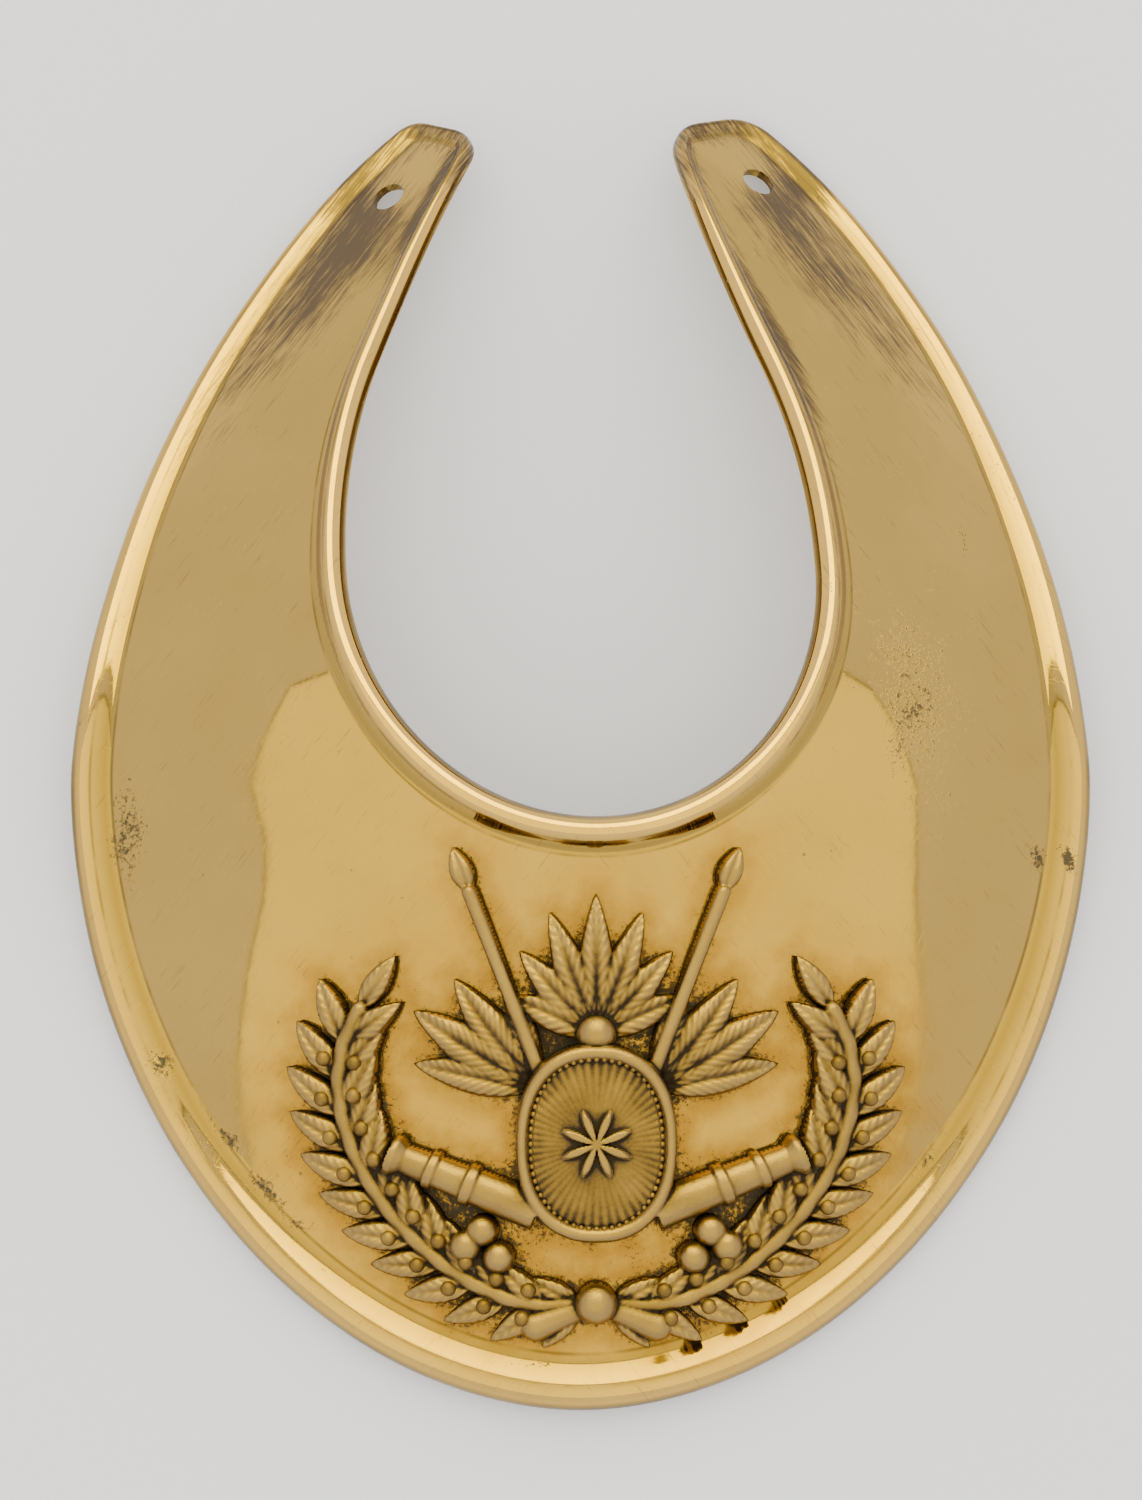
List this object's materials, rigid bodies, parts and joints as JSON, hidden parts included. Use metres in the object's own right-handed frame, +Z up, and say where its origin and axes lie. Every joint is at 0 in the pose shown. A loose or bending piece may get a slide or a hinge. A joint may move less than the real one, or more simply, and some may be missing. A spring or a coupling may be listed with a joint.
{
  "type": "officer gorget",
  "caption": "Gilt copper officer's gorget: a bowed crescent plate with rolled rims, ribbon holes in the horns and a cast badge.",
  "frame": {"origin": "centre of the bounding box's bottom face, under the gorget as it lies on its back", "axes": "+Z up, +Y along the gorget from its lower edge to its horns, +X to the right as it is looked at from above"},
  "size_m": [0.1078, 0.1408, 0.0226],
  "materials": {
    "polished_gilt": "polished, worn gilding",
    "matte_gilt": "matte gilding, dark in the recesses",
    "pin_brass": "plain"
  },
  "bodies": {
    "root": {"gorget_plate": "polished_gilt", "badge": "matte_gilt", "badge_pin_1": "pin_brass", "badge_pin_2": "pin_brass", "badge_pin_3": "pin_brass", "badge_pin_4": "pin_brass"}
  },
  "joints": []
}
